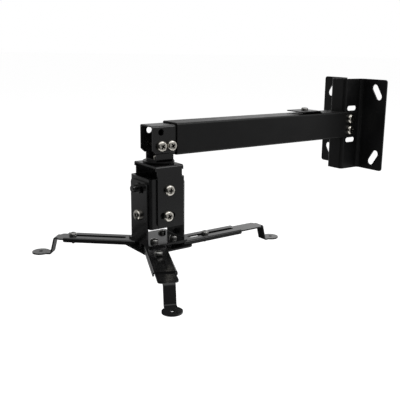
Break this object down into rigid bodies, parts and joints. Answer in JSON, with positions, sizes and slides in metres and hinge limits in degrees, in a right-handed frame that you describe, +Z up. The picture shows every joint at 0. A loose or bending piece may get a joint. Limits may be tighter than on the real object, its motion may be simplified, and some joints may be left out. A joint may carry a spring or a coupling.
{
  "type": "projector mount",
  "caption": "Telescopic projector mount for a wall or ceiling: folded wall plate, sliding square tube, swivelling and tilting head, and adjustable arms with feet.",
  "frame": {"origin": "centre of the wall plate's four fixing slots, in the plane of its flanges' backs", "axes": "+X from the head along the tube to the wall, +Z up, +Y to the plate's far side as the picture shows it"},
  "size_m": [0.4274, 0.2461, 0.197],
  "materials": {
    "black_coat": "satin black powder coat on folded steel",
    "black_screw": "black nickel, glossy",
    "bright_screw": "bright nickel-plated steel"
  },
  "bodies": {
    "wall_side": {"wall_plate": "black_coat", "outer_tube": "black_coat", "ear_bolts": "bright_screw", "ear_nuts": "bright_screw", "tube_clip": "black_coat", "clip_screw": "black_screw", "lock_nuts": "black_coat", "lock_screws": "black_screw"},
    "inner_arm": {"inner_tube": "black_coat", "knuckle_bracket": "black_coat", "knuckle_bolts": "bright_screw", "knuckle_nuts": "bright_screw", "swivel_disc": "black_screw"},
    "swivel_head": {"swivel_washer": "black_screw", "swivel_bolt": "bright_screw", "swivel_nut": "bright_screw", "yoke": "black_coat"},
    "tilt_body": {"tilt_box": "black_coat", "pitch_pivot_bolts": "bright_screw", "pitch_clamp_bolts": "bright_screw", "pitch_nuts": "bright_screw", "roll_pivot_bolts": "bright_screw", "roll_clamp_bolts": "black_screw", "roll_nuts": "bright_screw"},
    "roll_body": {"lower_bracket": "black_coat", "arm_plate": "black_coat", "arm_pivot_screws": "black_screw", "arm_pivot_nuts": "black_screw", "hub_spacer": "black_screw", "hub_screw": "black_screw", "hub_nut": "black_screw"},
    "arm_front": {"arm_channel_front": "black_coat"},
    "foot_front": {"foot_strip_front": "black_coat", "clamp_screw_front": "black_screw"},
    "arm_left": {"arm_channel_left": "black_coat"},
    "foot_left": {"foot_strip_left": "black_coat", "clamp_screw_left": "black_screw"},
    "arm_right": {"arm_channel_right": "black_coat"},
    "foot_right": {"foot_strip_right": "black_coat", "clamp_screw_right": "black_screw"}
  },
  "joints": [
    {"name": "tube_slide", "type": "slide", "parent": "wall_side", "child": "inner_arm", "axis": [-1, 0, 0], "range_m": [0, 0.18]},
    {"name": "head_swivel", "type": "hinge", "parent": "inner_arm", "child": "swivel_head", "pos_m": [-0.3154, 0, -0.0265], "axis": [0, 0, 1], "continuous": true},
    {"name": "head_pitch", "type": "hinge", "parent": "swivel_head", "child": "tilt_body", "pos_m": [-0.3167, 0, -0.0531], "axis": [0, 1, 0], "range_deg": [-12, 12]},
    {"name": "head_roll", "type": "hinge", "parent": "tilt_body", "child": "roll_body", "pos_m": [-0.3167, 0, -0.082], "axis": [1, 0, 0], "range_deg": [-15, 15]},
    {"name": "arm_swing_front", "type": "hinge", "parent": "roll_body", "child": "arm_front", "pos_m": [-0.3291, -0.0122, -0.1148], "axis": [0, 0, 1], "range_deg": [-25, 25]},
    {"name": "foot_slide_front", "type": "slide", "parent": "arm_front", "child": "foot_front", "axis": [-0.4051, -0.9143, 0], "range_m": [-0.0105, 0.0445]},
    {"name": "arm_swing_left", "type": "hinge", "parent": "roll_body", "child": "arm_left", "pos_m": [-0.3291, 0.0122, -0.1148], "axis": [0, 0, 1], "range_deg": [-25, 25]},
    {"name": "foot_slide_left", "type": "slide", "parent": "arm_left", "child": "foot_left", "axis": [-0.7431, 0.6691, 0], "range_m": [-0.0545, 0.0005]},
    {"name": "arm_swing_right", "type": "hinge", "parent": "roll_body", "child": "arm_right", "pos_m": [-0.3043, -0.0122, -0.1148], "axis": [0, 0, 1], "range_deg": [-25, 25]},
    {"name": "foot_slide_right", "type": "slide", "parent": "arm_right", "child": "foot_right", "axis": [1, -0.0087, 0], "range_m": [-0.017, 0.038]}
  ]
}
